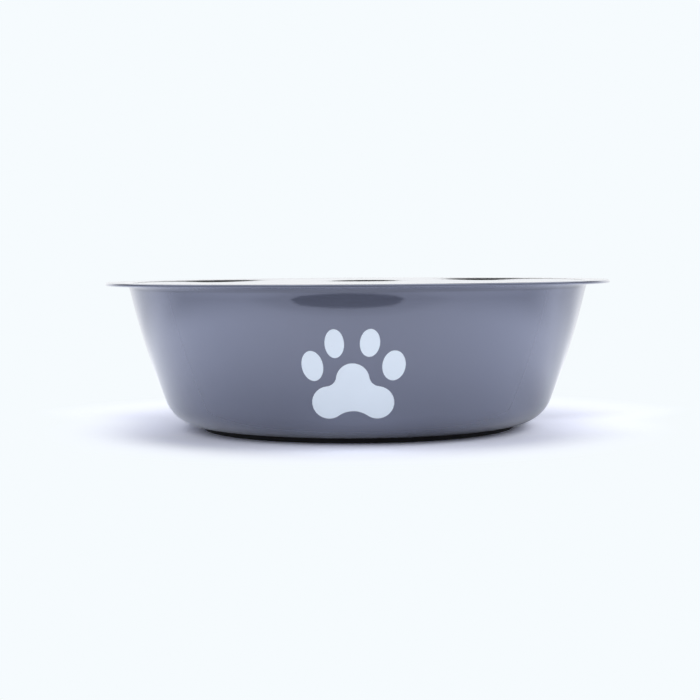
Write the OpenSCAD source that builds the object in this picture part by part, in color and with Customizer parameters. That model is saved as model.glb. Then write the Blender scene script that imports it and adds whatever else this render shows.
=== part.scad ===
// Drawn steel dog bowl with a folded flange rim, a painted outside, a bonded rubber foot ring
// and a paw print on the front wall.
// Millimetres. +Z is up, the floor is at z = 0, the bowl's axis is Z, and the paw print faces -Y.

/* [Bowl] */
// Diameter over the folded rim
rim_d = 250; // [235:1:300]
// Height from the floor to the top of the flange
bowl_h = 73; // [60:0.5:90]
// Diameter of the flat base, where the corner starts
base_d = 158.4; // [130:0.1:176]
// Flange width, from the end of its fillet to the outside of the rim
flange_w = 7.7; // [6:0.1:14]
// Outside radius of the corner between base and wall
corner_r = 18; // [10:0.5:24]
// Outside radius of the wall's long bulge
wall_bulge_r = 350; // [260:10:900]
// Radius of the fillet under the flange
flange_fillet_r = 4.5; // [2:0.1:6]
// Thickness of the steel sheet
sheet_t = 0.7; // [0.5:0.05:1]

/* [Folded rim] */
// Length of the leg folded under the flange, from the outside of the rim
hem_leg = 4; // [2.5:0.1:6]
// Gap left inside the fold
hem_gap = 0.16; // [0.1:0.02:0.5]

/* [Raised base panel] */
// How far the middle of the base is pressed up
panel_rise = 2.5; // [2:0.1:4]
// Radius of both bends in the panel's step
step_r = 1.6; // [1.3:0.1:1.8]
// Slope of the step, from flat
step_angle = 60; // [45:1:60]
// Flat left between the step and the foot ring
step_gap = 0.8; // [0.3:0.1:4]

/* [Paint] */
// Thickness of the paint on the outside
paint_t = 0.15; // [0.05:0.01:0.3]
// How far the paint reaches in under the base, from the start of the corner
paint_tuck = 5; // [3:0.5:8]
// Bare flange between the paint and the folded leg
paint_margin = 0.4; // [0.2:0.1:1]

/* [Foot ring] */
// Height of the rubber foot ring
ring_h = 2.4; // [1.8:0.1:5]
// Width of the foot ring
ring_w = 16; // [10:0.5:24]
// How far the ring stands in from the edge of the flat base
ring_inset = 1.1; // [0.5:0.1:2.5]
// Radius of the ring's lower edges
ring_edge_r = 0.6; // [0.3:0.1:0.9]
// Number of round grooves in the tread
groove_count = 2; // [1:1:4]
// Width of a round groove
groove_w = 1.2; // [0.6:0.1:1.8]
// Number of cross slots that let water out of the tread
slot_count = 24; // [12:4:48]
// Plain band left between the end of a slot and the ring's outer edge
slot_land = 2.4; // [1:0.1:4]
// Width of a cross slot
slot_w = 1.2; // [0.8:0.1:2]
// Depth of the tread
tread_depth = 0.6; // [0.3:0.1:1]
// How far the adhesive stops short of the ring's inner edge
bond_margin = 0.5; // [0.2:0.1:2]

/* [Paw print] */
// Width over the outer toes
paw_w = 45.4; // [20:0.2:50]
// Height of the middle of the paw above the floor
paw_z = 33.2; // [31:0.2:36]
// Thickness of the printed ink
ink_t = 0.08; // [0.05:0.01:0.2]

/* [Hidden] */
$fn = 96;
// One overrun serves every cut
overrun = 1;

// Steps along each arc of an outline
corner_steps = 20;
wall_steps = 14;
bend_steps = 8;
edge_steps = 4;
pad_steps = 14;
toe_steps = 48;

// Heights of the sheet's outer faces at the base and under the flange
base_z = ring_h + paint_t;
flange_z = bowl_h - sheet_t;

// Radii of the foot, from the outside in
rim_r = rim_d / 2;
base_r = base_d / 2;
ring_r = base_r - ring_inset;
paint_end_r = base_r - paint_tuck;
ring_inner_r = ring_r - ring_w;

// The step of the raised panel is two equal bends with a straight between them
step_straight = (panel_rise - 2 * step_r * (1 - cos(step_angle))) / sin(step_angle);
step_run = 2 * step_r * sin(step_angle) + step_straight * cos(step_angle);
step_foot_r = ring_inner_r - step_gap;
panel_r = step_foot_r - step_run;

// The wall is a chain of three tangent arcs: corner, bulge and flange fillet. The bulge touches the
// corner from outside and the fillet from inside, so its centre is the tip of a triangle whose
// three sides are known.
corner_c = [base_r, base_z + corner_r];
fillet_c = [rim_r - flange_w, flange_z - flange_fillet_r];
bulge_c = circle_meet(corner_c, wall_bulge_r - corner_r, fillet_c, wall_bulge_r + flange_fillet_r);
bulge_low = bearing(bulge_c, corner_c);
bulge_high = bearing(bulge_c, fillet_c);

// The fold turns round one centre, just inside the rim
fold_r = sheet_t + hem_gap / 2;
fold_c = [rim_r - fold_r, bowl_h - fold_r];
hem_leg_r = rim_r - hem_leg;
paint_rim_r = hem_leg_r - paint_margin;

// The paw print, from its middle, in shares of its width. Toes run from left to right.
toe_at_shares = [[-0.388, 0.086], [-0.172, 0.305], [0.170, 0.311], [0.398, 0.088]];
toe_half_shares = [[0.104, 0.150], [0.094, 0.141], [0.097, 0.137], [0.112, 0.149]];
toe_lean = [11, 3, -7, -10];
pad_top_share = [0, -0.049];
pad_top_r_share = 0.162;
pad_lobe_share = [0.236, -0.278];
pad_lobe_r_share = 0.163;
pad_waist_r_share = 0.107;
pad_arch_r_share = 0.242;
// The ink is cut from a sector of the wall that is just wider than the paw. It starts and ends on a
// facet of the full turn, so that ink and paint share their facets.
facet = 360 / $fn;
print_half_angle = facet * ceil(asin((paw_w / 2 + overrun) / base_r) / facet);

// Direction from point a to point b
function bearing(a, b) = atan2(b.y - a.y, b.x - a.x);

// The point at distance ra from a and rb from b, on the left of the way from a to b
function circle_meet(a, ra, b, rb) =
    let (
        gap = norm(b - a),
        turn = acos((ra * ra + gap * gap - rb * rb) / (2 * ra * gap)),
        way = bearing(a, b) + turn
    )
    a + ra * [cos(way), sin(way)];

// Points along an arc about c. It leaves out its first point where it goes on from another arc.
function arc(c, r, from, to, steps, goes_on = false) =
    [for (i = [goes_on ? 1 : 0:steps]) let (q = from + (to - from) * i / steps) c + r * [cos(q), sin(q)]];

function backwards(points) = [for (i = [len(points) - 1:-1:0]) points[i]];

// The outer face of the sheet, moved out by off, over the raised panel and its step.
// All its arcs keep their centres, so two of these lines hold an even thickness between them.
function panel_line(off) = concat(
    [[0, base_z + panel_rise - off]],
    arc([panel_r, base_z + panel_rise - step_r], step_r - off, 90, 90 - step_angle, bend_steps),
    arc([step_foot_r, base_z + step_r], step_r + off, -90 - step_angle, -90, bend_steps)
);

// The same face, moved out by off, from the start of the corner to the end of the flange fillet
function wall_line(off) = concat(
    arc(corner_c, corner_r + off, -90, bulge_low, corner_steps),
    arc(bulge_c, wall_bulge_r + off, bulge_low, bulge_high, wall_steps, goes_on = true),
    arc(fillet_c, flange_fillet_r - off, bulge_high + 180, 90, bend_steps, goes_on = true)
);

// The sheet in one stroke: out along its outer face, round the fold, and back along its inner face
function sheet_outline() = concat(
    panel_line(0),
    wall_line(0),
    arc(fold_c, hem_gap / 2, 90, -90, bend_steps),
    [[hem_leg_r, fold_c.y - hem_gap / 2], [hem_leg_r, fold_c.y - fold_r]],
    arc(fold_c, fold_r, -90, 90, bend_steps),
    backwards(wall_line(-sheet_t)),
    backwards(panel_line(-sheet_t))
);

// The paint lies on the wall, runs in under the base and stops short of the folded leg
function paint_outline() = concat(
    [[paint_end_r, base_z - paint_t]],
    wall_line(paint_t),
    [[paint_rim_r, flange_z - paint_t], [paint_rim_r, flange_z]],
    backwards(wall_line(0)),
    [[paint_end_r, base_z]]
);

// The ink lies on the paint
function ink_outline() = concat(wall_line(paint_t + ink_t), backwards(wall_line(paint_t)));

// The ring's section, with rounded lower edges and evenly spaced grooves in its foot
function ring_outline() = concat(
    arc([ring_inner_r + ring_edge_r, ring_edge_r], ring_edge_r, 180, 270, edge_steps),
    [for (i = [1:groove_count]) each groove_points(ring_inner_r + ring_w * i / (groove_count + 1))],
    arc([ring_r - ring_edge_r, ring_edge_r], ring_edge_r, -90, 0, edge_steps),
    [[ring_r, ring_h], [ring_inner_r, ring_h]]
);

function groove_points(r) = [
    [r - groove_w / 2, 0],
    [r - groove_w / 2, tread_depth],
    [r + groove_w / 2, tread_depth],
    [r + groove_w / 2, 0]
];

// A toe is an ellipse that leans by an angle
function toe_points(at, half, lean) = [
    for (i = [0:toe_steps - 1])
        let (q = 360 * i / toe_steps, x = half.x * cos(q), y = half.y * sin(q))
        at + [x * cos(lean) - y * sin(lean), x * sin(lean) + y * cos(lean)]
];

// Right half of the heel pad, up from the hollow at its foot: round the lobe, in at the waist and
// over the top. Hollow and waist are arcs that touch the round lobes beside them.
function pad_half() =
    let (
        top = paw_w * pad_top_share,
        top_r = paw_w * pad_top_r_share,
        lobe = paw_w * pad_lobe_share,
        lobe_r = paw_w * pad_lobe_r_share,
        waist_r = paw_w * pad_waist_r_share,
        waist = circle_meet(top, top_r + waist_r, lobe, lobe_r + waist_r),
        arch_r = paw_w * pad_arch_r_share,
        arch = [0, lobe.y - sqrt(pow(lobe_r + arch_r, 2) - pow(lobe.x, 2))]
    )
    concat(
        arc(arch, arch_r, 90, bearing(arch, lobe), pad_steps),
        arc(lobe, lobe_r, bearing(lobe, arch), bearing(lobe, waist), pad_steps, goes_on = true),
        arc(waist, waist_r, bearing(waist, lobe), bearing(waist, top), pad_steps, goes_on = true),
        arc(top, top_r, bearing(top, waist), 90, pad_steps, goes_on = true)
    );

// Both halves share their first and last points, so the left half leaves them out
function pad_points() =
    let (right = pad_half(), last = len(right) - 1)
    concat(right, [for (i = [last - 1:-1:1]) [-right[i].x, right[i].y]]);

// Ink on the front wall inside an outline that is drawn flat, as seen from the front
module ink_print(points) {
    intersection() {
        rotate([0, 0, -90 - print_half_angle])
            rotate_extrude(angle = 2 * print_half_angle)
                polygon(ink_outline());
        translate([0, 0, paw_z])
            rotate([90, 0, 0])
                linear_extrude(height = rim_r)
                    polygon(points);
    }
}

module toe_print(i) {
    ink_print(toe_points(paw_w * toe_at_shares[i], paw_w * toe_half_shares[i], toe_lean[i]));
}

// One blank of sheet: raised panel, corner, wall, flange and folded rim
module steel_bowl() {
    color("silver")
        rotate_extrude()
            polygon(sheet_outline());
}

module grey_paint() {
    color("slategray")
        rotate_extrude()
            polygon(paint_outline());
}

// Adhesive between the ring and the bare base, as thick as the paint beside it
module ring_bond() {
    color("khaki")
        rotate_extrude()
            translate([ring_inner_r + bond_margin, ring_h])
                square([paint_end_r - ring_inner_r - bond_margin, base_z - ring_h]);
}

// Moulded rubber, with a tread of round grooves and cross slots
module non_slip_ring() {
    color("dimgray")
        difference() {
            rotate_extrude()
                polygon(ring_outline());
            for (i = [0:slot_count - 1])
                rotate([0, 0, 360 * i / slot_count])
                    translate([ring_inner_r - overrun, -slot_w / 2, -overrun])
                        cube([ring_w + overrun - slot_land, slot_w, tread_depth + overrun]);
        }
}

module paw_heel_pad() {
    color("lightsteelblue")
        ink_print(pad_points());
}

module paw_outer_left_toe() {
    color("lightsteelblue")
        toe_print(0);
}

module paw_inner_left_toe() {
    color("lightsteelblue")
        toe_print(1);
}

module paw_inner_right_toe() {
    color("lightsteelblue")
        toe_print(2);
}

module paw_outer_right_toe() {
    color("lightsteelblue")
        toe_print(3);
}

steel_bowl();
grey_paint();
ring_bond();
non_slip_ring();
paw_heel_pad();
paw_outer_left_toe();
paw_inner_left_toe();
paw_inner_right_toe();
paw_outer_right_toe();
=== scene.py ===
import math

import bpy
import numpy as np
from bpy.props import FloatProperty, FloatVectorProperty, IntProperty, PointerProperty
from bpy.types import Operator, Panel, PropertyGroup
from mathutils import Matrix, Vector


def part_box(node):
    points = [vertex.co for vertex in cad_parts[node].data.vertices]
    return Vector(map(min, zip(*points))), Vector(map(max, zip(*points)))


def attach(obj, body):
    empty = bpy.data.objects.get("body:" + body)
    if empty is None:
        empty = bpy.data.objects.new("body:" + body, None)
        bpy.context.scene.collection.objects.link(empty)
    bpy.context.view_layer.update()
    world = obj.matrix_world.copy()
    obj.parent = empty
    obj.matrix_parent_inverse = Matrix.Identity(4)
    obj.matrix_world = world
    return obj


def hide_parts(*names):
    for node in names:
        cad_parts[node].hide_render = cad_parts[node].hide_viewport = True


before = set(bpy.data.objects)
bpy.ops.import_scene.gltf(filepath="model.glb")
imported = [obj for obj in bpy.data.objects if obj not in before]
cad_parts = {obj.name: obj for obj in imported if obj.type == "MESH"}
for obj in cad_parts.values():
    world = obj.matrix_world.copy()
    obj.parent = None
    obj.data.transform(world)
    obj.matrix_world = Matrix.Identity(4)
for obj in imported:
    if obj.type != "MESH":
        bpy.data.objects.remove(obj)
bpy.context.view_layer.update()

bl_info = {
    "name": "Painted Steel Dog Bowl",
    "version": (1, 0, 0),
    "blender": (4, 5, 0),
    "location": "3D View > Sidebar > Dog Bowl",
    "description": "Dresses a drawn steel dog bowl: bare sheet, grey lacquer, rubber foot ring and paw print",
    "category": "Add Mesh",
}

MM = 0.001
# Points closer than this are one point
SAME_POINT = 1e-8
ROOT = "root"

STEEL_LOW, STEEL_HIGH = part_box("steel_bowl")
RING_LOW, RING_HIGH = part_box("non_slip_ring")

# The paw print from its middle, in shares of its width. Toes run from left to right.
TOES = (
    # piece, node, place, half axes, lean in degrees
    ("outer_left_toe_ink", "paw_outer_left_toe", (-0.388, 0.086), (0.104, 0.150), 11),
    ("inner_left_toe_ink", "paw_inner_left_toe", (-0.172, 0.305), (0.094, 0.141), 3),
    ("inner_right_toe_ink", "paw_inner_right_toe", (0.170, 0.311), (0.097, 0.137), -7),
    ("outer_right_toe_ink", "paw_outer_right_toe", (0.398, 0.088), (0.112, 0.149), -10),
)
PAD_TOP = (0.0, -0.049)
PAD_TOP_RADIUS = 0.162
PAD_LOBE = (0.236, -0.278)
PAD_LOBE_RADIUS = 0.163
PAD_WAIST_RADIUS = 0.107
PAD_ARCH_RADIUS = 0.242
PAD_CENTRE = (0.0, -0.215)
# How far the wall behind the paw leans out, for the ink's thickness
WALL_LEAN = math.radians(15)


# Settings


def length(name, description, default):
    """A length property in metres."""
    return FloatProperty(
        name=name, description=description, default=default, unit="LENGTH", subtype="DISTANCE", precision=5
    )


def angle(name, description, degrees):
    """An angle property. Its default is written in degrees."""
    return FloatProperty(
        name=name, description=description, default=math.radians(degrees), unit="ROTATION", subtype="ANGLE"
    )


def count(name, description, default, least, most):
    """A whole-number property, with its limits."""
    return IntProperty(name=name, description=description, default=default, min=least, max=most)


def tone(name, description, default):
    """A colour property, in scene linear values."""
    return FloatVectorProperty(
        name=name, description=description, default=default, size=3, subtype="COLOR", min=0.0, max=1.0
    )


class SheetSettings(PropertyGroup):
    """Sizes of the drawn sheet."""

    rim_radius: length("Rim radius", "From the axis to the outside of the folded rim", STEEL_HIGH.x)
    height: length("Height", "From the floor to the top of the flange", STEEL_HIGH.z)
    base_radius: length("Base radius", "Radius of the flat base, where the corner starts", 79.2 * MM)
    flange_width: length("Flange width", "From the end of its fillet to the outside of the rim", 7.7 * MM)
    corner_radius: length("Corner radius", "Outside radius between base and wall", 18 * MM)
    bulge_radius: length("Bulge radius", "Outside radius of the wall's long bulge", 350 * MM)
    fillet_radius: length("Fillet radius", "Radius of the fillet under the flange", 4.5 * MM)
    flare_height: length("Flare height", "Height where the wall starts to flare into the fillet", 66.1 * MM)
    flare_radius: length("Flare radius", "Radius of the flare", 75 * MM)
    throat_radius: length("Throat radius", "Radius of the fillet's last, tighter part", 3.6 * MM)
    thickness: length("Sheet thickness", "Thickness of the steel sheet", 0.7 * MM)
    hem_leg: length("Hem leg", "Length of the leg folded under the flange", 4 * MM)
    hem_gap: length("Hem gap", "Gap left inside the fold", 0.16 * MM)
    hem_burr: length("Hem edge radius", "Rounding of the cut edge of the folded leg", 0.12 * MM)
    panel_rise: length("Panel rise", "How far the middle of the base is pressed up", 2.5 * MM)
    step_radius: length("Step radius", "Radius of both bends in the panel's step", 1.6 * MM)
    step_angle: angle("Step angle", "Slope of the step, from flat", 60)
    step_gap: length("Step gap", "Flat left between the step and the foot ring", 0.8 * MM)
    columns: count("Columns", "Faces round the bowl", 384, 48, 512)


class LacquerSettings(PropertyGroup):
    """Sizes and colour of the lacquer on the outside."""

    thickness: length("Lacquer thickness", "Thickness of the lacquer", 0.15 * MM)
    tuck: length("Tuck", "How far the lacquer reaches in under the base", 5 * MM)
    margin: length("Margin", "Bare flange between the lacquer and the folded leg", 0.4 * MM)
    edge_film: length("Edge film", "Thickness of the overspray on the folded edge", 0.04 * MM)
    edge_reach: angle("Edge reach", "How far up the rolled edge the overspray comes, from level", 86)
    colour: tone("Lacquer colour", "Colour of the lacquer", (0.215, 0.236, 0.325))
    bare_colour: tone("Worn colour", "Colour where the lacquer's edges have worn thin", (0.36, 0.37, 0.41))


class RingSettings(PropertyGroup):
    """Sizes and colour of the rubber foot ring."""

    outer_radius: length("Outer radius", "Outside of the ring", RING_HIGH.x)
    height: length("Ring height", "Height of the ring", RING_HIGH.z)
    width: length("Ring width", "From the inside to the outside of the ring", 16 * MM)
    edge_radius: length("Edge radius", "Radius of the lower edges", 0.6 * MM)
    groove_count: count("Grooves", "Round grooves in the tread", 2, 1, 4)
    groove_width: length("Groove width", "Width of a round groove", 1.2 * MM)
    slot_count: count("Slots", "Cross slots that drain the tread", 24, 8, 48)
    slot_width: length("Slot width", "Width of a cross slot", 1.2 * MM)
    slot_land: length("Slot land", "Plain band between the end of a slot and the outer edge", 2.4 * MM)
    tread_depth: length("Tread depth", "Depth of grooves and slots", 0.6 * MM)
    lip: length("Lip radius", "Rounding of the edges of grooves and slots", 0.14 * MM)
    colour: tone("Rubber colour", "Colour of the rubber", (0.0125, 0.0130, 0.0150))
    dust_colour: tone("Dust colour", "Colour of dust in the rubber's grain", (0.16, 0.155, 0.15))


class PawSettings(PropertyGroup):
    """Sizes and colour of the paw print."""

    width: length("Paw width", "Width over the outer toes", 45.4 * MM)
    middle: length("Paw height", "Height of the middle of the paw above the floor", 33.2 * MM)
    ink: length("Ink thickness", "Thickness of the printed ink", 0.08 * MM)
    colour: tone("Ink colour", "Colour of the ink", (0.845, 0.935, 1.0))
    mesh_pitch: length("Screen pitch", "Spacing of the marks that the printing screen leaves", 0.32 * MM)


class SteelFinishSettings(PropertyGroup):
    """Finish of the bare steel and of the adhesive."""

    colour: tone("Steel colour", "Colour of polished stainless steel", (0.93, 0.935, 0.94))
    line_pitch: length("Polish line pitch", "Spacing of the polishing lines", 0.22 * MM)
    adhesive_colour: tone("Adhesive colour", "Colour of the cured adhesive", (0.42, 0.36, 0.22))


class StudioSettings(PropertyGroup):
    """Camera, floor and light."""

    camera_distance: length("Camera distance", "From the bowl's axis to the camera, on the level", 773.7 * MM)
    camera_height: length("Camera height", "From the floor to the camera", 83.0 * MM)
    camera_turn: angle("Camera turn", "How far round the bowl the camera stands from the paw", 1.33)
    camera_aim: angle("Camera aim", "How far the camera looks to the side of the axis", -0.298)
    camera_pitch: angle("Camera pitch", "How far the camera looks down", 3.325)
    camera_roll: angle("Camera roll", "How far the camera leans", -0.390)
    lens: FloatProperty(name="Lens", description="Focal length", default=79.18, unit="CAMERA")
    backdrop: tone("Backdrop", "Colour of the sweep, as the camera sees it", (0.921, 0.965, 0.991))
    floor: tone("Floor", "Colour of the floor paper", (0.845, 0.86, 0.97))
    shaded_floor: tone("Shaded floor", "Half the colour seen near the bowl", (0.61, 0.625, 0.70))
    # The dark gap is a dark band painted into the paper that only polished faces mirror
    dark_gap: length("Dark gap", "From the bowl's axis to the dark gap in the paper in front", 223.7 * MM)
    dark_gap_middle: length("Dark gap middle", "How far the gap's middle lies to the side", -11 * MM)
    dark_gap_half: length("Dark gap half width", "Half its width, up to where its ends draw in", 64 * MM)


# Curves of the section and of the paw


def arc(centre, radius, start, end, steps):
    """Points of an arc: the centre plus the radius times (cosine, sine) of evenly stepped degrees."""
    q = np.radians(np.linspace(start, end, steps + 1))
    return np.asarray(centre) + radius * np.column_stack((np.cos(q), np.sin(q)))


def bearing(a, b):
    """Direction from point a to point b, in degrees."""
    return math.degrees(math.atan2(b[1] - a[1], b[0] - a[0]))


def beyond(centre, reach, way):
    """Point at a distance from a centre, in a direction in radians."""
    return (centre[0] + reach * math.cos(way), centre[1] + reach * math.sin(way))


def circle_meet(a, from_a, b, from_b):
    """Point at distance from_a from a and from_b from b, left of the way from a to b, by the cosine rule."""
    gap = math.dist(a, b)
    turn = math.acos((from_a**2 + gap**2 - from_b**2) / (2 * from_a * gap))
    return beyond(a, from_a, math.radians(bearing(a, b)) + turn)


def turns(columns):
    """Evenly spaced turns round an axis, in radians."""
    return np.linspace(0.0, 2 * math.pi, columns, endpoint=False)


def chain(*parts):
    """Joins runs of points into one line, and drops a point that repeats the one before it."""
    line = np.vstack([np.atleast_2d(p) for p in parts])
    step = np.linalg.norm(np.diff(line, axis=0), axis=1)
    return line[np.concatenate(([True], step > SAME_POINT))]


def run_length(line):
    """Length along a line of points, from its first point to each of them."""
    return np.concatenate(([0.0], np.cumsum(np.linalg.norm(np.diff(line, axis=0), axis=1))))


def split_long(line, longest):
    """Puts evenly spaced points into each stretch that is longer than longest."""
    parts = []
    for a, b in zip(line[:-1], line[1:]):
        count = max(1, math.ceil(math.dist(a, b) / longest))
        parts.append(a + (b - a) * np.linspace(0.0, 1.0, count, endpoint=False)[:, None])
    return np.vstack(parts + [line[-1:]])


class BowlSection:
    """The bowl's half section in (radius, height). Corner, bulge, flare and throat are tangent arcs that keep
    their centres when the line is moved out by off, so two such lines hold an even thickness."""

    def __init__(self, scene):
        sheet, lacquer, ring = scene.bowl_sheet, scene.bowl_lacquer, scene.bowl_ring
        self.sheet, self.lacquer = sheet, lacquer
        self.base_z = ring.height + lacquer.thickness
        self.flange_z = sheet.height - sheet.thickness
        self.corner = (sheet.base_radius, self.base_z + sheet.corner_radius)
        self.bulge = circle_meet(
            self.corner,
            sheet.bulge_radius - sheet.corner_radius,
            (sheet.rim_radius - sheet.flange_width, self.flange_z - sheet.fillet_radius),
            sheet.bulge_radius + sheet.fillet_radius,
        )
        self.low = bearing(self.bulge, self.corner)
        way = math.asin((sheet.flare_height - self.bulge[1]) / sheet.bulge_radius)
        self.flare = beyond(self.bulge, sheet.bulge_radius + sheet.flare_radius, way)
        self.flare_from = math.degrees(way)
        throat_z = self.flange_z - sheet.throat_radius
        gap = sheet.flare_radius - sheet.throat_radius
        self.throat = (self.flare[0] - math.sqrt(gap**2 - (throat_z - self.flare[1]) ** 2), throat_z)
        self.flare_to = bearing(self.flare, self.throat) % 360
        self.fold_radius = sheet.thickness + sheet.hem_gap / 2
        self.fold = (sheet.rim_radius - self.fold_radius, sheet.height - self.fold_radius)
        self.leg_radius = sheet.rim_radius - sheet.hem_leg
        self.lacquer_rim = self.leg_radius - lacquer.margin
        self.lacquer_end = sheet.base_radius - lacquer.tuck
        self.step_foot = ring.outer_radius - ring.width - sheet.step_gap
        slope = sheet.step_angle
        bends = 2 * sheet.step_radius
        straight = (sheet.panel_rise - bends * (1 - math.cos(slope))) / math.sin(slope)
        self.panel_radius = self.step_foot - bends * math.sin(slope) - straight * math.cos(slope)

    def panel_line(self, off):
        """Outer face over the raised panel: flat, then two equal bends with a straight between them."""
        rise, radius = self.sheet.panel_rise, self.sheet.step_radius
        slope = math.degrees(self.sheet.step_angle)
        return chain(
            [(0.0, self.base_z + rise - off)],
            arc((self.panel_radius, self.base_z + rise - radius), radius - off, 90, 90 - slope, steps=10),
            arc((self.step_foot, self.base_z + radius), radius + off, -90 - slope, -90, steps=10),
        )

    def wall_line(self, off, fine=1):
        """Outer face from the start of the corner to the end of the throat, where the flange is flat."""
        sheet = self.sheet
        return chain(
            arc(self.corner, sheet.corner_radius + off, -90, self.low, steps=26 * fine),
            arc(self.bulge, sheet.bulge_radius + off, self.low, self.flare_from, steps=24 * fine),
            arc(self.flare, sheet.flare_radius - off, self.flare_from + 180, self.flare_to, steps=8 * fine),
            arc(self.throat, sheet.throat_radius - off, self.flare_to, 90, steps=18 * fine),
        )

    def sheet_outline(self):
        """One stroke: out along the outer face, round the fold, and back along the inner face."""
        sheet, burr = self.sheet, self.sheet.hem_burr
        leg_top = self.fold[1] - sheet.hem_gap / 2
        leg_foot = self.fold[1] - self.fold_radius
        return chain(
            self.panel_line(0.0),
            self.wall_line(0.0),
            arc(self.fold, sheet.hem_gap / 2, 90, -90, steps=8),
            arc((self.leg_radius + burr, leg_top - burr), burr, 90, 180, steps=4),
            arc((self.leg_radius + burr, leg_foot + burr), burr, 180, 270, steps=4),
            self.fold_line(-90, 90, steps=28, off=-self.lacquer.edge_film),
            self.wall_line(-sheet.thickness)[::-1],
            self.panel_line(-sheet.thickness)[::-1],
        )

    def fold_line(self, start, end, steps, off=0.0):
        """Outside of the folded edge, moved out by off at its widest and by nothing at its top and foot."""
        line = arc(self.fold, self.fold_radius, start, end, steps)
        line[:, 0] += off * (line[:, 0] - self.fold[0]) / self.fold_radius
        return line

    def edge_film_outline(self):
        """The film of overspray: along the foot of the leg, up the rolled edge, and back on the steel."""
        film, reach = self.lacquer.edge_film, math.degrees(self.lacquer.edge_reach)
        foot = self.fold[1] - self.fold_radius
        start = self.leg_radius + self.sheet.hem_burr
        rolled = self.fold_line(-90, reach, steps=22)
        rolled[:, 1] -= film * np.clip((self.fold[1] - rolled[:, 1]) / self.fold_radius, 0.0, 1.0)
        return chain(
            arc((start + film, foot), film, 180, 270, steps=3),
            rolled,
            self.fold_line(reach, -90, steps=22, off=-film),
        )

    def lacquer_outline(self):
        """The lacquer's two faces, joined by a rounded lip under the base and another by the folded leg."""
        thick = self.lacquer.thickness
        lip = thick / 2
        return chain(
            arc((self.lacquer_end + lip, self.base_z - lip), lip, 180, 270, steps=4),
            self.wall_line(thick),
            arc((self.lacquer_rim - lip, self.flange_z - lip), lip, -90, 0, steps=4),
            [(self.lacquer_rim, self.flange_z)],
            self.wall_line(0.0)[::-1],
            [(self.lacquer_end, self.base_z)],
        )

    def wall_radius(self, z):
        """Radius of the bare wall at a height, read from a finely stepped line."""
        line = self.wall_line(0.0, fine=16)
        rising = line[np.concatenate(([True], np.diff(line[:, 1]) > 0))]
        return np.interp(z, rising[:, 1], rising[:, 0])


def toe_outline(place, half, lean, steps=96):
    """An ellipse that leans: the place plus (a cos q, b sin q), turned by lean."""
    q = turns(steps)
    x, y = half[0] * np.cos(q), half[1] * np.sin(q)
    lean = math.radians(lean)
    across = place[0] + x * math.cos(lean) - y * math.sin(lean)
    up = place[1] + x * math.sin(lean) + y * math.cos(lean)
    return np.column_stack((across, up))


def pad_outline(steps=208, arc_steps=60):
    """Heel pad: an arch at the foot, a round lobe on each side, a waist and a round top, each arc touching
    the next. The right half is mirrored, and the points are spread evenly along the whole line."""
    top, lobe = PAD_TOP, PAD_LOBE
    waist = circle_meet(top, PAD_TOP_RADIUS + PAD_WAIST_RADIUS, lobe, PAD_LOBE_RADIUS + PAD_WAIST_RADIUS)
    arch = (0.0, lobe[1] - math.sqrt((PAD_LOBE_RADIUS + PAD_ARCH_RADIUS) ** 2 - lobe[0] ** 2))
    right = chain(
        arc(arch, PAD_ARCH_RADIUS, 90, bearing(arch, lobe), arc_steps),
        arc(lobe, PAD_LOBE_RADIUS, bearing(lobe, arch), bearing(lobe, waist), arc_steps),
        arc(waist, PAD_WAIST_RADIUS, bearing(waist, lobe), bearing(waist, top), arc_steps),
        arc(top, PAD_TOP_RADIUS, bearing(top, waist), 90, arc_steps),
    )
    whole = chain(right, right[::-1] * (-1.0, 1.0))
    run = run_length(whole)
    at = np.linspace(0.0, run[-1], steps, endpoint=False)
    return np.column_stack((np.interp(at, run, whole[:, 0]), np.interp(at, run, whole[:, 1])))


# Meshes


def gap_to(line, point):
    """Distance from a point to each point of a line."""
    return np.linalg.norm(line - np.asarray(point), axis=1)


def nearness(distance, reach):
    """1 at no distance, falling off as a bell curve with the given reach."""
    return np.exp(-((distance / reach) ** 2))


def around(radius, q, z):
    """Points about the axis, at a turn q in radians and a height: (radius cos q, radius sin q, z)."""
    return np.stack(np.broadcast_arrays(radius * np.cos(q), radius * np.sin(q), z), axis=-1)


def cells(grid):
    """The four corners of each cell of a grid, in order round the cell."""
    return np.stack((grid[:-1, :-1], grid[:-1, 1:], grid[1:, 1:], grid[1:, :-1]), axis=2)


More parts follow.
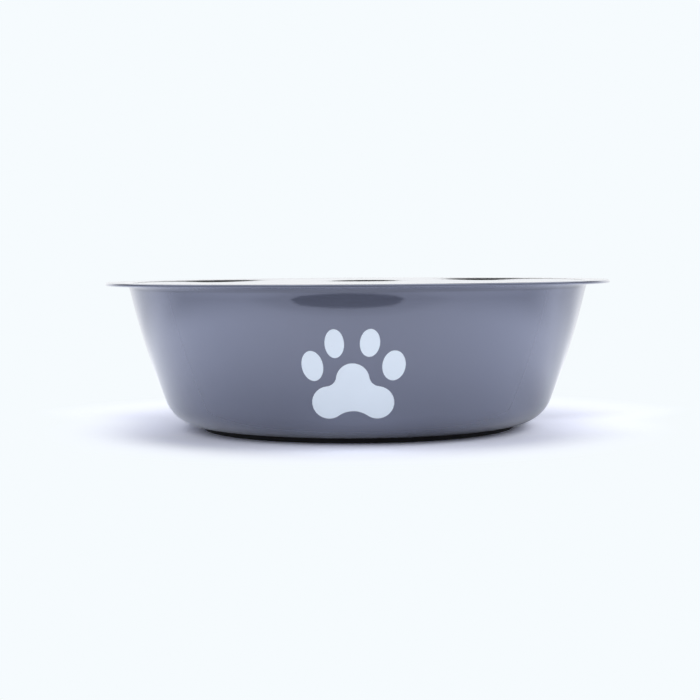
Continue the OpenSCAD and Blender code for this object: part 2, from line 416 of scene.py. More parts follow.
def lay_mesh(name, points, uv, wear, sharp, close_rows=False, poles=False):
    """Mesh of a grid of points: quads between neighbouring rows and columns. The last column joins the first.
    close_rows joins the last row to the first. With poles, the first and last rows are one point each.
    The faces are turned over if the volume that they enclose comes out negative. Edges that turn by more
    than sharp degrees stay sharp."""
    rows, columns = points.shape[:2]
    ids = np.arange(rows * columns).reshape(rows, columns)
    if poles:
        ids[0], ids[-1] = ids[0, 0], ids[-1, 0]
    kept, compact = np.unique(ids, return_inverse=True)
    ids = compact.reshape(rows, columns)
    vertices = points.reshape(-1, 3)[kept]
    ids = np.concatenate((ids, ids[:, :1]), axis=1)
    if close_rows:
        ids = np.concatenate((ids, ids[:1]), axis=0)
    corners, corner_uv = cells(ids), cells(uv)
    # Each block of cells, and which of their corners make its faces
    blocks = [(slice(None), [0, 1, 2, 3])]
    if poles:
        blocks = [(slice(1, -1), [0, 1, 2, 3]), (slice(0, 1), [0, 2, 3]), (slice(-1, None), [0, 1, 2])]
    faces = [corners[block][..., kind].reshape(-1, len(kind)) for block, kind in blocks]
    face_uv = [corner_uv[block][..., kind, :].reshape(-1, len(kind), 2) for block, kind in blocks]

    def volume(triangles):
        """Sum of the signed tetrahedra from the origin to each triangle."""
        a, b, c = (vertices[triangles[:, k]] for k in range(3))
        return np.einsum("ij,ij->", a, np.cross(b, c)) / 6

    inside = sum(volume(block[:, [0, k, k + 1]]) for block in faces for k in range(1, block.shape[1] - 1))
    way = -1 if inside < 0 else 1
    flat_uv = np.concatenate([block[:, ::way].ravel() for block in face_uv])

    mesh = bpy.data.meshes.new(name)
    mesh.from_pydata(vertices.tolist(), [], [face for block in faces for face in block[:, ::way].tolist()])
    mesh.update()
    mesh.uv_layers.new(name="UVMap").data.foreach_set("uv", flat_uv.astype(np.float32))
    wear_data = mesh.attributes.new("wear", "FLOAT", "POINT").data
    wear_data.foreach_set("value", wear.reshape(-1)[kept].astype(np.float32))
    mesh.polygons.foreach_set("use_smooth", np.ones(len(mesh.polygons), bool))
    mesh.set_sharp_from_angle(angle=math.radians(sharp))
    if mesh.validate(verbose=False):
        raise RuntimeError(f"{name} has faces that can't be kept")
    return mesh


def turned_mesh(name, line, q, wear, z=None, poles=False, sharp=38.0):
    """Surface about the axis: the line's point (r, z) at turn q goes to (r cos q, r sin q, z). A height z of
    its own may be given for each point. The UV map holds the turn, from 0 to 1, and the length along the line
    in metres."""
    points = around(line[:, 0, None], q, line[:, 1, None] if z is None else z)
    q = np.broadcast_to(q, points.shape[:2])
    wear = np.broadcast_to(wear.reshape(len(line), -1), q.shape)
    turn = np.concatenate((q, q[:, :1] + 2 * math.pi), axis=1) / (2 * math.pi)
    if not poles:
        turn, line = np.vstack((turn, turn[:1])), np.vstack((line, line[:1]))
    uv = np.stack(np.broadcast_arrays(turn, run_length(line)[:, None]), axis=-1)
    return lay_mesh(name, points, uv, wear, close_rows=not poles, poles=poles, sharp=sharp)


def new_object(name, data):
    """Makes an object of a mesh, a camera or a lamp, and links it."""
    made = bpy.data.objects.new(name, data)
    bpy.context.collection.objects.link(made)
    return made


def put(mesh, material, slot, *nodes):
    """Makes the piece, gives it its finish, and lets it ride on the body in place of its CAD nodes."""
    piece = new_object(mesh.name, mesh)
    mesh.materials.append(material)
    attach(piece, ROOT)
    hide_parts(*nodes)


# Shader nodes


def sum_node(operation, swapped=False):
    """A method of Wire that adds a math node to the wire's tree."""
    if swapped:
        return lambda wire, other: wire.tree.math(operation, other, wire)
    return lambda wire, other=None: wire.tree.math(operation, wire, other)


class Wire:
    """An output of a node. A sum that is written with it adds math nodes."""

    def __init__(self, tree, socket):
        self.tree, self.socket = tree, socket

    __add__ = sum_node("ADD")
    __sub__ = sum_node("SUBTRACT")
    __rsub__ = sum_node("SUBTRACT", swapped=True)
    __mul__ = sum_node("MULTIPLY")
    __truediv__ = sum_node("DIVIDE")
    __rtruediv__ = sum_node("DIVIDE", swapped=True)
    __pow__ = sum_node("POWER")
    __abs__ = sum_node("ABSOLUTE")


class Tree:
    """Short calls that add nodes to one shader tree. A value given to a socket is a wire or a constant."""

    def __init__(self, tree):
        self.tree = tree
        self.tree.nodes.clear()

    def feed(self, socket, value):
        """Links a wire to the socket, or sets the socket's own value."""
        if isinstance(value, Wire):
            self.tree.links.new(value.socket, socket)
        elif isinstance(value, (int, float)):
            socket.default_value = value
        elif value is not None:
            socket.default_value = (*value, 1.0)[: len(socket.default_value)]

    def node(self, kind, inputs=(), **settings):
        """Adds a shader node, applies its settings and feeds its inputs, given by name or number."""
        node = self.tree.nodes.new("ShaderNode" + kind)
        for key, value in settings.items():
            setattr(node, key, value)
        for key, value in dict(inputs).items():
            self.feed(node.inputs[key], value)
        return node

    def wire(self, kind, inputs=(), output=0, **settings):
        """Adds a node, and returns one of its outputs."""
        return Wire(self, self.node(kind, inputs, **settings).outputs[output])

    def math(self, operation, a, b=None):
        return self.wire("Math", {0: a, 1: b}, operation=operation)

    def vector(self, operation, a, b=None):
        output = "Value" if operation == "LENGTH" else "Vector"
        return self.wire("VectorMath", {0: a, 1: b}, output, operation=operation)

    def scaled(self, vector, scale):
        return self.wire("VectorMath", {0: vector, "Scale": scale}, operation="SCALE")

    def split(self, vector):
        """The three parts of a vector."""
        return [Wire(self, part) for part in self.node("SeparateXYZ", {0: vector}).outputs]

    def join(self, x=0.0, y=0.0, z=0.0):
        """A vector of three parts."""
        return self.wire("CombineXYZ", {0: x, 1: y, 2: z})

    def noise(self, vector, scale, detail=3.0, roughness=0.5):
        inputs = {"Vector": vector, "Scale": scale, "Detail": detail, "Roughness": roughness}
        return self.wire("TexNoise", inputs)

    def ease(self, value, low, high, to_low=0.0, to_high=1.0):
        """Smooth step of a value between two limits. It falls where the first limit is the higher one."""
        inputs = {"Value": value, "From Min": low, "From Max": high, "To Min": to_low, "To Max": to_high}
        return self.wire("MapRange", inputs, interpolation_type="SMOOTHSTEP")

    def clamp(self, value):
        """The value, held between 0 and 1."""
        return self.wire("Clamp", {"Value": value})

    def mix(self, factor, a, b):
        """Blend of two colours."""
        return self.wire("Mix", {"Factor": factor, 6: a, 7: b}, 2, data_type="RGBA")

    def place(self):
        """Object coordinates of the surface."""
        return self.wire("TexCoord", output="Object")

    def uv(self):
        """The two parts of the UV map."""
        return self.split(self.wire("UVMap", uv_map="UVMap"))[:2]

    def bump(self, height, distance):
        return self.wire("Bump", {"Height": height, "Distance": distance, "Strength": 1.0})

    def diffuse(self, colour):
        return self.wire("BsdfDiffuse", {"Color": colour})

    def by_ray(self, other, mirrored, seen):
        """One shader for the camera, one for polished faces, and one for all other rays."""
        for ray, shader in (("Is Glossy Ray", mirrored), ("Is Camera Ray", seen)):
            factor = self.wire("LightPath", output=ray)
            other = self.wire("MixShader", {0: factor, 1: other, 2: shader})
        return other


# Shared effects, each a node group that is made when a material first uses it

EFFECTS = {}


def shared_effect(name, output, **defaults):
    """Keeps the function below it as the maker of a node group with these inputs and one output."""

    def keep(make):
        EFFECTS[name] = (make, output, defaults)
        return make

    return keep


def socket_label(key):
    """An input's name: a capital on each word, and spaces for the underscores."""
    return key.replace("_", " ").title()


def effect_group(name):
    """Builds a shared effect's node group, with named sockets."""
    make, output, defaults = EFFECTS[name]
    group = bpy.data.node_groups.new(name, "ShaderNodeTree")
    for key, default in defaults.items():
        kind = "NodeSocketColor" if isinstance(default, tuple) else "NodeSocketFloat"
        socket = group.interface.new_socket(socket_label(key), in_out="INPUT", socket_type=kind)
        socket.default_value = default
    kind = "NodeSocketColor" if output == "Colour" else "NodeSocketFloat"
    group.interface.new_socket(output, in_out="OUTPUT", socket_type=kind)
    tree = Tree(group)
    given = group.nodes.new("NodeGroupInput").outputs
    made = make(tree, *(Wire(tree, given[socket_label(key)]) for key in defaults))
    tree.feed(group.nodes.new("NodeGroupOutput").inputs[output], made)
    return group


def effect(tree, name, **inputs):
    """Places a shared effect in a material, with its own values, and returns its output."""
    group = bpy.data.node_groups.get(name) or effect_group(name)
    node = tree.node("Group", node_tree=group)
    for key, value in inputs.items():
        tree.feed(node.inputs[socket_label(key)], value)
    return Wire(tree, node.outputs[0])


@shared_effect("Tone drift", "Colour", colour=(0.5, 0.5, 0.5, 1.0), amount=0.05, scale=30.0)
def tone_drift(tree, colour, amount, scale):
    """Slow, faint change of a colour over the surface: the colour times 1 plus or minus a little noise."""
    cloud = tree.noise(tree.place(), scale, detail=4.0)
    return tree.scaled(colour, (cloud - 0.5) * (amount * 2) + 1)


@shared_effect("Fine grain", "Height", size=0.001, sharpness=0.5)
def fine_grain(tree, size, sharpness):
    """Height of a fine even grain, such as orange peel in lacquer or the moulded skin of rubber: two noises,
    one about four times finer than the other. The size is the width of one bump."""
    place, coarse = tree.place(), 1 / size
    high = tree.noise(place, coarse * 4.1, detail=2.0)
    return (high - 0.5) * sharpness + tree.noise(place, coarse, detail=1.0)


@shared_effect("Settled dust", "Mask", amount=0.3, spacing=0.004)
def settled_dust(tree, amount, spacing):
    """Sparse specks: round dots about the middles of random cells, where a second noise lets them settle."""
    place = tree.place()
    dots = tree.node("TexVoronoi", {"Vector": place, "Scale": 1 / spacing}).outputs
    speck = tree.ease(Wire(tree, dots["Distance"]), 0.10, 0.035)
    pick = tree.wire("SeparateColor", {0: Wire(tree, dots["Color"])})
    return speck * tree.math("LESS_THAN", pick, amount) * tree.ease(tree.noise(place, 22.0), 0.40, 0.62)


@shared_effect("Edge wear", "Mask", amount=0.5, break_up=700.0)
def edge_wear(tree, amount, break_up):
    """Wear that starts at a piece's edges: its wear attribute, broken up by noise, past a soft threshold."""
    near = tree.wire("Attribute", output="Fac", attribute_name="wear")
    broken = tree.noise(tree.place(), break_up, detail=5.0, roughness=0.62)
    return tree.ease(near * amount + (broken - 0.5), 0.34, 0.52) * near


@shared_effect("Hairline scratches", "Mask", scale=60.0, width=0.02)
def hairline_scratches(tree, scale, width):
    """Fine random scratches: thin level lines of three noises, each drawn out in its own direction."""
    place, total = tree.place(), 0.0
    for turn, lean, drawn in ((0.3, 0.2, 9.0), (1.5, -0.5, 12.0), (2.6, 0.8, 7.0)):
        inputs = {"Vector": place, "Rotation": (lean, lean * 0.5, turn), "Scale": (1.0, drawn, drawn)}
        turned = tree.wire("Mapping", inputs)
        level = tree.noise(turned, scale, detail=1.5, roughness=0.4)
        line = tree.ease(abs(level - 0.5), width, 0.0)
        kept = tree.ease(tree.noise(turned, 17.0 + 5.0 * turn, detail=2.0), 0.52, 0.66)
        total = tree.math("MAXIMUM", line * kept, total)
    return total


# Materials

POLISH_LINE = (0.66, 0.665, 0.68)
DUSTY_LACQUER, SCRATCHED_LACQUER = (0.36, 0.37, 0.41), (0.42, 0.43, 0.48)
WORN_INK, DUSTY_INK = (0.42, 0.47, 0.56), (0.35, 0.36, 0.40)
BUBBLE_EDGE = (0.62, 0.56, 0.40)
# Heights where the painted shade under the flange starts, is full, starts to fade and ends
FLANGE_SHADE_START, FLANGE_SHADE_FULL, FLANGE_SHADE_FADE, FLANGE_SHADE_END = 68.8 * MM, 69.7 * MM, 70.3 * MM, 71.2 * MM


def new_material(name):
    """An empty material, and its tree."""
    material = bpy.data.materials.new(name)
    material.use_nodes = True
    return material, Tree(material.node_tree)


def dress(material, tree, **inputs):
    """Ends the material in a Principled shader. Its sockets are named with underscores for the spaces."""
    shader = tree.node("BsdfPrincipled")
    names = {key.lower(): key for key in shader.inputs.keys()}
    for key, value in inputs.items():
        tree.feed(shader.inputs[names[key.replace("_", " ")]], value)
    tree.node("OutputMaterial", {"Surface": Wire(tree, shader.outputs[0])})
    return material


def polished_steel(settings):
    """Drawn and polished stainless: fine lines that run round the bowl, hairline scratches, faint smears
    that dull the gloss, and a rim that is rubbed smooth."""
    material, tree = new_material("Polished steel")
    place = tree.place()
    flat = tree.vector("NORMALIZE", tree.vector("MULTIPLY", place, (1.0, 1.0, 0.0)))
    across = tree.uv()[1] / settings.line_pitch
    line_place = tree.vector("ADD", tree.scaled(flat, 1.6), tree.join(z=across))
    lines = tree.noise(line_place, 1.0, detail=3.0, roughness=0.7)
    broad_place = tree.vector("ADD", tree.scaled(flat, 0.8), tree.join(z=across * 0.07))
    broad = tree.noise(broad_place, 1.0, detail=2.0)
    scratches = effect(tree, "Hairline scratches", scale=55.0, width=0.012)
    smear = tree.ease(tree.noise(place, 26.0, detail=4.0), 0.42, 0.72)
    wear = effect(tree, "Edge wear", amount=0.5, break_up=420.0)
    dust = effect(tree, "Settled dust", amount=0.12, spacing=0.005)
    rough = lines * 0.05 + 0.085 + smear * 0.05 + scratches * 0.12 - wear * 0.03 + dust * 0.4
    colour = effect(tree, "Tone drift", colour=settings.colour, amount=0.03, scale=24.0)
    return dress(
        material,
        tree,
        base_color=tree.mix(lines * 0.15, colour, POLISH_LINE),
        metallic=1.0,
        roughness=tree.clamp(rough),
        anisotropic=0.35,
        tangent=tree.wire("Tangent", direction_type="UV_MAP", uv_map="UVMap"),
        normal=tree.bump(lines * 0.5 + broad * 0.9 - scratches * 0.45, 0.9e-6),
    )


def grey_lacquer(settings):
    """Baked grey lacquer with a glassy top: orange peel, faint drift of tone, hairlines, dust, edges worn
    thin by the folded leg and under the base, and painted shade in a band just under the flange."""
    material, tree = new_material("Grey lacquer")
    wear = effect(tree, "Edge wear", amount=0.62, break_up=900.0)
    dust = effect(tree, "Settled dust", amount=0.03, spacing=0.0042)
    scratches = effect(tree, "Hairline scratches", scale=90.0, width=0.010)
    colour = effect(tree, "Tone drift", colour=settings.colour, amount=0.035, scale=14.0)
    colour = tree.mix(wear * 0.6, colour, settings.bare_colour)
    colour = tree.mix(dust * 0.08, colour, DUSTY_LACQUER)
    colour = tree.mix(scratches * 0.04, colour, SCRATCHED_LACQUER)
    # Painted shade: the colour is darkened by up to 28% in a band just under the flange, where its shade
    # falls
    height = tree.split(tree.place())[2]
    flange_shade = tree.ease(height, FLANGE_SHADE_START, FLANGE_SHADE_FULL) * tree.ease(height, FLANGE_SHADE_END, FLANGE_SHADE_FADE)
    peel = effect(tree, "Fine grain", size=0.0016, sharpness=0.12)
    normal = tree.bump(peel - scratches * 0.05, 3.0e-6)
    return dress(
        material,
        tree,
        base_color=tree.scaled(colour, 1 - flange_shade * 0.28),
        metallic=0.6,
        roughness=tree.clamp(scratches * 0.10 + 0.06 + wear * 0.25 + dust * 0.1),
        coat_weight=1.0,
        coat_roughness=0.015,
        normal=normal,
        coat_normal=normal,
    )


def moulded_rubber(settings):
    """Black rubber with a matt moulded skin, worn smoother on the tread, with dust in its grain."""
    material, tree = new_material("Moulded rubber")
    grain = effect(tree, "Fine grain", size=0.00035, sharpness=0.6)
    wear = effect(tree, "Edge wear", amount=0.5, break_up=1500.0)
    dust = effect(tree, "Settled dust", amount=0.35, spacing=0.0025)
    colour = effect(tree, "Tone drift", colour=settings.colour, amount=0.18, scale=60.0)
    colour = tree.mix(tree.ease(grain, 0.35, 0.1) * 0.12, colour, settings.dust_colour)
    return dress(
        material,
        tree,
        base_color=tree.mix(dust * 0.5, colour, settings.dust_colour),
        roughness=grain * 0.2 + 0.55 - wear * 0.2,
        normal=tree.bump(grain, 2.2e-5),
        specular_ior_level=0.45,
    )


def screen_ink(settings):
    """Pale printed ink: satin, with the faint square marks of the printing screen, specks and a soft edge."""
    material, tree = new_material("Screen ink")
    wear = effect(tree, "Edge wear", amount=0.45, break_up=1300.0)
    dust = effect(tree, "Settled dust", amount=0.15, spacing=0.0030)
    grain = effect(tree, "Fine grain", size=0.0005, sharpness=0.4)
    across, up = (tree.math("SINE", way * (2 * math.pi / settings.mesh_pitch)) for way in tree.uv())
    colour = effect(tree, "Tone drift", colour=settings.colour, amount=0.025, scale=45.0)
    colour = tree.mix(wear * 0.35, colour, WORN_INK)
    return dress(
        material,
        tree,
        base_color=tree.mix(dust * 0.25, colour, DUSTY_INK),
        roughness=tree.clamp(grain * 0.12 + 0.30),
        normal=tree.bump(across * up * 0.18 + grain, 3.5e-6),
        coat_weight=0.35,
        coat_roughness=0.12,
    )


def cured_adhesive(settings):
    """Cured amber adhesive: slightly cloudy, with small bubbles and a soft gloss."""
    material, tree = new_material("Cured adhesive")
    bubbles = tree.wire("TexVoronoi", {"Vector": tree.place(), "Scale": 900.0}, "Distance")
    ring = tree.ease(abs(bubbles - 0.18), 0.05, 0.0)
    grain = effect(tree, "Fine grain", size=0.0012, sharpness=0.3)
    colour = effect(tree, "Tone drift", colour=settings.adhesive_colour, amount=0.2, scale=160.0)
    return dress(
        material,
        tree,
        base_color=tree.mix(ring * 0.35, colour, BUBBLE_EDGE),
        roughness=grain * 0.2 + 0.28,
        normal=tree.bump(grain - ring * 0.3, 1.5e-5),
        subsurface_weight=0.15,
        subsurface_scale=0.001,
    )


# Pieces


class BOWL_OT_steel(Operator):
    """Turn the drawn sheet: raised panel, corner, bulged wall, flange and folded rim"""

    bl_idname = "dog_bowl.steel"
    bl_label = "Steel Bowl"

    def execute(self, context):
        scene = context.scene
        section = BowlSection(scene)
        outline = split_long(section.sheet_outline(), longest=9 * MM)
        past_fold = np.maximum(gap_to(outline, section.fold) - section.fold_radius, 0.0)
        wear = nearness(past_fold, reach=1.5 * MM)
        q = turns(scene.bowl_sheet.columns)
        mesh = turned_mesh("drawn_steel_bowl", outline, q, wear, poles=True)
        put(mesh, polished_steel(scene.bowl_finish), "steel", "steel_bowl")
        return {"FINISHED"}


class BOWL_OT_lacquer(Operator):
    """Coat the outside with lacquer, from under the base to the folded leg"""

    bl_idname = "dog_bowl.lacquer"
    bl_label = "Grey Lacquer"

    def execute(self, context):
        scene = context.scene
        section = BowlSection(scene)
        finish = grey_lacquer(scene.bowl_lacquer)
        coat = section.lacquer_outline()
        by_base = nearness(gap_to(coat, (section.lacquer_end, section.base_z)), reach=1.6 * MM)
        by_leg = nearness(gap_to(coat, (section.lacquer_rim, section.flange_z)), reach=0.9 * MM)
        film = section.edge_film_outline()
        by_top = nearness(film[:, 1].max() - film[:, 1], reach=0.25 * MM)
        for name, outline, wear in (
            ("lacquer_coat", coat, np.maximum(by_base, by_leg)),
            ("lacquer_edge", film, by_top),
        ):
            mesh = turned_mesh(name, outline, turns(scene.bowl_sheet.columns), wear)
            put(mesh, finish, "paint", "grey_paint")
        return {"FINISHED"}


def rounded_cut(half, depth, lip):
    """Half of a cut's section, from outside it to its flat floor, as (distance from its middle, depth): a
    lip that rounds over, a wall that leans a little, and a rounded foot. The end of a cut is one with no
    half width."""
    over = arc((half + lip, lip), lip, 270, 200, steps=3)
    foot = arc((half - lip * 0.9, depth - lip), lip, 20, 90, steps=3)
    return chain(over, foot)


class BOWL_OT_foot_ring(Operator):
    """Mould the rubber foot ring, with round grooves and cross slots in its tread"""

    bl_idname = "dog_bowl.foot_ring"
    bl_label = "Rubber Foot Ring"

    def section(self, ring, slot_end):
        """The ring's section: up over the top, and along a foot with rounded edges and grooves."""
        inner, outer = ring.outer_radius - ring.width, ring.outer_radius
        edge, lip = ring.edge_radius, ring.lip
        cut = rounded_cut(ring.groove_width / 2, ring.tread_depth, lip)
        parts = [arc((inner + edge, edge), edge, 180, 270, steps=7)]
        for k in range(ring.groove_count):
            middle = inner + ring.width * (k + 1) / (ring.groove_count + 1)
            parts += [cut * (-1, 1) + (middle, 0.0), cut[::-1] + (middle, 0.0)]
        parts += [
            slot_end * (1, 0),
            arc((outer - edge, edge), edge, 270, 360, steps=7),
            arc((outer - lip, ring.height - lip), lip, 0, 90, steps=3),
            arc((inner + lip, ring.height - lip), lip, 90, 180, steps=3),
        ]
        return split_long(chain(*parts), longest=1.4 * MM)

    def execute(self, context):
        ring = context.scene.bowl_ring
        slot_end = rounded_cut(0.0, ring.tread_depth, ring.lip)[::-1]
        slot_end += (ring.outer_radius - ring.slot_land, 0.0)
        line = self.section(ring, slot_end)
        radius = line[:, 0, None]
        # A slot's columns as (offset from its middle, how deep), then plain columns up to the next slot
        plain_columns = 8
        cut = rounded_cut(ring.slot_width / 2, ring.tread_depth, ring.lip)
        near = np.vstack((cut * (-1, 1), [(0.0, ring.tread_depth)], cut[::-1]))
        slot_turn = np.arcsin(near[None, :, 0] / radius)
        pitch = 2 * math.pi / ring.slot_count
        plain = np.linspace(0.0, 1.0, plain_columns + 2)[1:-1]
        between = slot_turn[:, -1:] + (pitch - 2 * slot_turn[:, -1:]) * plain
        one = np.concatenate((slot_turn, between), axis=1)
        q = (one[:, None, :] + pitch * np.arange(ring.slot_count)[:, None]).reshape(len(line), -1)
        depth = np.tile(np.concatenate((near[:, 1], np.zeros(plain_columns))), ring.slot_count)
        depth = np.minimum(depth, np.interp(radius, slot_end[:, 0], slot_end[:, 1]))
        z = np.maximum(line[:, 1, None], depth)
        wear = nearness(z, reach=0.35 * MM)
        mesh = turned_mesh("rubber_foot_ring", line, q, wear, z, sharp=50.0)
        put(mesh, moulded_rubber(ring), "rubber", "non_slip_ring")
        return {"FINISHED"}


class BOWL_OT_ring_bond(Operator):
    """Finish the adhesive between the ring and the bare base"""

    bl_idname = "dog_bowl.ring_bond"
    bl_label = "Ring Adhesive"

    def execute(self, context):
        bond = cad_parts["ring_bond"]
        material = cured_adhesive(context.scene.bowl_finish)
        if not bond.material_slots:
            raise RuntimeError("the adhesive has no material slot")
        for holder in bond.material_slots:
            holder.material = material
        return {"FINISHED"}


class BOWL_OT_paw_print(Operator):
    """Print the heel pad and the four toes on the front wall"""

    bl_idname = "dog_bowl.paw_print"
    bl_label = "Paw Print"

    def print_mesh(self, name, outline, centre, scene, front_rows=14, edge_rows=5, back_rows=8):
        """A thin pad of ink on the wall. Its rows shrink the outline towards a middle, over the front, round
        the edge and across the back, and each point (x, z) goes to y = -sqrt(wall radius(z)^2 - x^2)."""
        paw, coat = scene.bowl_paw, scene.bowl_lacquer.thickness
        outline, centre = outline * paw.width, np.asarray(centre) * paw.width
        # Each row as (share of the way out, height over the lacquer, distance in from there)
        front = [(share, paw.ink, 0.0) for share in np.arange(front_rows) / front_rows]
        edge = [(1.0, up, paw.ink - out) for out, up in arc((0.0, 0.0), paw.ink, 90, 0, steps=edge_rows)]
        back = [(share, 0.0, 0.0) for share in np.linspace(1.0, 0.0, back_rows + 1)[1:]]
        share, height, inset = np.array(front + edge + back).T[..., None]
        reach = np.linalg.norm(outline - centre, axis=1)
        flat = centre + (share - inset / reach)[..., None] * (outline - centre)
        x, z = flat[..., 0], flat[..., 1] + paw.middle
        radius = BowlSection(scene).wall_radius(z) + (coat + height) / math.cos(WALL_LEAN)
        points = np.stack((x, -np.sqrt(radius**2 - x**2), z), axis=-1)
        uv = np.stack((x, z), axis=-1)
        uv = np.concatenate((uv, uv[:, :1]), axis=1)
        wear = nearness((1.0 - share) * reach, reach=0.5 * MM)
        return lay_mesh(name, points, uv, wear, sharp=60.0, poles=True)

    def execute(self, context):
        scene = context.scene
        ink = screen_ink(scene.bowl_paw)
        prints = [("heel_pad_ink", "paw_heel_pad", PAD_CENTRE, pad_outline())]
        for name, node, place, half, lean in TOES:
            prints.append((name, node, place, toe_outline(place, half, lean)))
        for name, node, centre, outline in prints:
            put(self.print_mesh(name, outline, centre, scene), ink, "ink", node)
        return {"FINISHED"}


# Studio

LAMPS = (
    # name, place, size, power
    ("overhead_softbox", (0.0, 0.10, 0.95), (1.0, 0.7), 1.0),
    ("right_softbox", (0.75, 0.05, 0.55), (0.45, 0.45), 1.6),
)

# The dark gap is a dark band painted into the paper for polished faces only; the camera sees plain paper
# The dark gap in the mirrored paper: where across its bow is centred, the bow, and how its ends draw in
GAP_AXIS, GAP_BOW, GAP_TAPER = 10 * MM, 0.8, 10

# The dark cards are ellipses over x / (1 - y) and (1 - y) / z of the direction.
CARDS = (
    # middle, half size, how dark
    ((-0.61, 0.46), (0.24, 0.50), 0.98),
    ((-0.03, 1.30), (0.16, 0.34), 0.98),
    ((0.70, 0.45), (0.31, 0.46), 0.96),
)


class BOWL_OT_studio(Operator):
    """Lay the floor, hang the lights and set up the camera"""

    bl_idname = "dog_bowl.studio"
    bl_label = "Studio"

    def camera(self, scene, studio):
        """The camera stands at its turn round the axis, then pitches, aims and leans about its own lens."""
        data = bpy.data.cameras.new("bowl_camera")
        data.lens = studio.lens
        data.sensor_width = 36.0
        data.clip_start, data.clip_end = 0.02, 50.0
        camera = new_object("bowl_camera", data)
        around_axis = Matrix.Rotation(studio.camera_turn, 4, "Z")
        place = around_axis @ Vector((0.0, -studio.camera_distance, studio.camera_height))
        aim = (
            Matrix.Rotation(studio.camera_turn - studio.camera_aim, 4, "Z")
            @ Matrix.Rotation(math.pi / 2 - studio.camera_pitch, 4, "X")
            @ Matrix.Rotation(studio.camera_roll, 4, "Z")
        )
        camera.matrix_world = Matrix.Translation(place) @ aim
        scene.camera = camera

    def floor(self, studio, rings=40, columns=96, reach=3.0):
        """A round sheet of paper, finer towards its middle: ring k of n has the radius reach * (k / n)^2."""
        radius = reach * np.linspace(0.0, 1.0, rings + 1)[1:, None] ** 2
        points = around(radius, turns(columns), 0.0).reshape(-1, 3)
        ids = 1 + np.arange(rings * columns).reshape(rings, columns)
        following = np.roll(ids, -1, axis=1)
        quads = np.stack((ids[:-1], ids[1:], following[1:], following[:-1]), axis=-1).reshape(-1, 4)
        fan = np.stack((np.zeros(columns, int), ids[0], following[0]), axis=-1)
        mesh = bpy.data.meshes.new("studio_floor")
        mesh.from_pydata([(0.0, 0.0, 0.0)] + points.tolist(), [], fan.tolist() + quads.tolist())
        mesh.update()
        mesh.materials.append(self.floor_paper(studio))
        new_object("studio_floor", mesh)

    def floor_paper(self, studio):
        """Paper that keeps the bowl's shadow, and adds painted shadow and light by place. Light Path decides
        what the camera and polished faces see.
        """
        material, tree = new_material("Floor paper")
        x, y, _ = tree.split(tree.place())
        radius = tree.vector("LENGTH", tree.join(x, y))
        to_side, to_front = x / radius, y / (radius * -1)
        back = tree.ease(to_front, -0.10, -0.45)
        seen = self.paper_seen(tree, studio, radius, to_side, to_front, back)
        mirrored = self.paper_mirrored(tree, studio, x, y, radius, to_side, to_front)
        surface = tree.by_ray(tree.diffuse(studio.floor), mirrored, seen)
        tree.node("OutputMaterial", {"Surface": surface})
        return material

    def paper_seen(self, tree, studio, radius, to_side, to_front, back):
        """For the camera: shaded paper near the bowl, which fades into the sweep. Painted shadow darkens it
        at the front corners, behind the bowl, and a little way off from its front and right."""
        # Painted shadow: dimmer darkens the shaded paper by place, on top of the bowl's own shadow
        corner = (to_side * tree.math("MAXIMUM", to_front, 0.0)) ** 2
        dimmer = corner * tree.ease(radius, 0.105, 0.140, 1.1, 0.0) + back * (to_side * 0.07 + 0.13)
        front_right = tree.ease(to_side, -0.75, -0.30) * tree.ease(to_front, 0.0, 0.4)
        dimmer = dimmer + front_right * tree.ease(radius, 0.108, 0.136, 0.0, 0.15)
        shaded = tree.diffuse(tree.scaled(studio.shaded_floor, 1 - dimmer))
        shaded = tree.wire("AddShader", {0: shaded, 1: shaded})
        glow = tree.wire("Emission", {"Color": studio.backdrop, "Strength": 1.0})
        fade = tree.ease(radius * (back * -0.22 + 1), 0.100, 0.160)
        return tree.wire("MixShader", {0: fade, 1: shaded, 2: glow})

    def paper_mirrored(self, tree, studio, x, y, radius, to_side, to_front):
        """For polished faces: paper with the dark gap in front, which bows and whose ends draw in."""
        # The dark gap: a dark band painted into the paper, which the wall mirrors as a dark spot under the
        # flange
        toward = (x - GAP_AXIS) ** 2 * GAP_BOW - y
        past = tree.math("MAXIMUM", abs(x - studio.dark_gap_middle) - studio.dark_gap_half, 0.0)
        gap = tree.ease(toward - past**2 * GAP_TAPER, studio.dark_gap, studio.dark_gap + 3 * MM)
        middle = abs(to_side)
        # Painted light: the mirrored paper is lighter to the sides and behind the bowl
        level = to_side * to_side * 0.25 + 0.70 - to_side * 0.08
        level = level + tree.ease(to_front, -0.50, -0.95, 0.0, 0.32)
        for dimmer, amount in (
            # painted fall-off of light: dimmer far ahead, and far all round
            (tree.ease(radius, 0.205, 0.290) * tree.ease(to_front, -0.3, 0.25), 0.38),
            (tree.ease(radius, 0.220, 0.400), 0.18),
            # close to the foot: painted shade, darker to the right than to the left, and painted light in
            # front and behind
            (tree.ease(radius, 0.104, 0.078) * tree.ease(to_side, -0.6, 0.4, -0.4, 0.5), 0.4),
            (tree.ease(radius, 0.082, 0.120, -1.0, 0.0) * tree.ease(middle, 0.45, 0.05), 0.52),
            # painted shade at the right, near the bowl and behind it
            (tree.ease(radius, 0.170, 0.110) * tree.ease(to_side, 0.88, 1.0), 0.2),
            (tree.ease(to_side, 0.55, 0.88) * tree.ease(to_front, -0.15, -0.35), 0.09),
            # the dark gap, and painted shade on the paper just short of it
            (tree.ease(toward, studio.dark_gap - 20 * MM, studio.dark_gap), 0.20),
            (gap, 0.79),
        ):
            level = level * (1 - dimmer * amount)
        # Painted tint of the mirrored paper's light: bluer to the sides
        tint = tree.mix(middle * middle, (0.96, 0.97, 1.0), (0.925, 0.955, 1.03))
        return tree.diffuse(tree.scaled(tint, level))

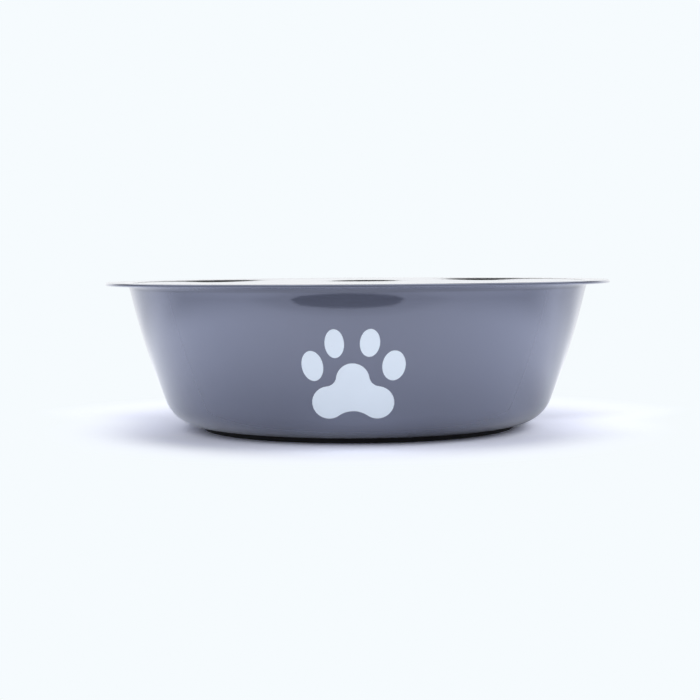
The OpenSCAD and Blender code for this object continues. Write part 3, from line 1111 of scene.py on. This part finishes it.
    def lamp(self, name, place, size, power):
        """A rectangle of soft light, turned to face the origin. Polished faces don't mirror it."""
        data = bpy.data.lights.new(name, "AREA")
        data.shape = "RECTANGLE"
        data.size, data.size_y = size
        data.energy = power
        lamp = new_object(name, data)
        lamp.location = place
        lamp.rotation_mode = "QUATERNION"
        lamp.rotation_quaternion = (-Vector(place)).to_track_quat("-Z", "Y")
        lamp.visible_camera = lamp.visible_glossy = False

    def surroundings(self, scene, studio):
        """The sweep is white to the camera. Other rays see a tent that is dimmer at the camera's side.
        Polished faces see the dark room low down at the front and sides, and the dark cards overhead."""
        world = bpy.data.worlds.new("Studio tent")
        world.use_nodes = True
        scene.world = world
        tree = Tree(world.node_tree)
        x, y, z = tree.split(tree.wire("TexCoord", output="Generated"))
        level = 0.95 - tree.ease(y * -1, 0.0, 0.9) * 0.10 + tree.ease(abs(x), 0.35, 0.95) * 0.10
        dark = tree.ease(z, 0.38, 0.44, 0.90, 0.0) * tree.ease(y, 0.86, 0.68)
        across, down = x / (1 - y), (1 - y) / z
        for middle, half, depth in CARDS:
            out = ((across - middle[0]) / half[0]) ** 2 + ((down - middle[1]) / half[1]) ** 2
            dark = tree.math("MAXIMUM", dark, tree.ease(out, 0.75, 1.1, depth, 0.0))
        surface = tree.by_ray(
            tree.wire("Background", {"Color": (0.97, 0.98, 1.0), "Strength": level}),
            tree.wire("Background", {"Color": (0.96, 0.975, 1.0), "Strength": 1 - dark}),
            tree.wire("Background", {"Color": studio.backdrop, "Strength": 1.0}),
        )
        tree.node("OutputWorld", {"Surface": surface})

    def execute(self, context):
        scene = context.scene
        studio = scene.bowl_studio
        self.camera(scene, studio)
        self.floor(studio)
        self.surroundings(scene, studio)
        for lamp in LAMPS:
            self.lamp(*lamp)
        scene.view_settings.view_transform = "Standard"
        return {"FINISHED"}


PIECES = (
    BOWL_OT_steel,
    BOWL_OT_lacquer,
    BOWL_OT_foot_ring,
    BOWL_OT_ring_bond,
    BOWL_OT_paw_print,
    BOWL_OT_studio,
)

SETTINGS = {
    "bowl_sheet": SheetSettings,
    "bowl_lacquer": LacquerSettings,
    "bowl_ring": RingSettings,
    "bowl_paw": PawSettings,
    "bowl_finish": SteelFinishSettings,
    "bowl_studio": StudioSettings,
}


class BOWL_PT_sidebar(Panel):
    """Lists the pieces and their settings"""

    bl_label = "Dog Bowl"
    bl_idname = "BOWL_PT_sidebar"
    bl_space_type = "VIEW_3D"
    bl_region_type = "UI"
    bl_category = "Dog Bowl"

    def draw(self, context):
        layout = self.layout
        for piece in PIECES:
            layout.operator(piece.bl_idname)
        for name, group in SETTINGS.items():
            box = layout.box()
            box.label(text=group.__doc__)
            for key in group.__annotations__:
                box.prop(getattr(context.scene, name), key)


def register():
    for group in SETTINGS.values():
        bpy.utils.register_class(group)
    for name, group in SETTINGS.items():
        setattr(bpy.types.Scene, name, PointerProperty(type=group))
    for kind in (*PIECES, BOWL_PT_sidebar):
        bpy.utils.register_class(kind)


def unregister():
    for kind in (BOWL_PT_sidebar, *reversed(PIECES)):
        bpy.utils.unregister_class(kind)
    for name in SETTINGS:
        delattr(bpy.types.Scene, name)
    for group in reversed(SETTINGS.values()):
        bpy.utils.unregister_class(group)


def main():
    register()
    bpy.ops.dog_bowl.steel()
    bpy.ops.dog_bowl.lacquer()
    bpy.ops.dog_bowl.foot_ring()
    bpy.ops.dog_bowl.ring_bond()
    bpy.ops.dog_bowl.paw_print()
    bpy.ops.dog_bowl.studio()


if __name__ == "__main__":
    main()
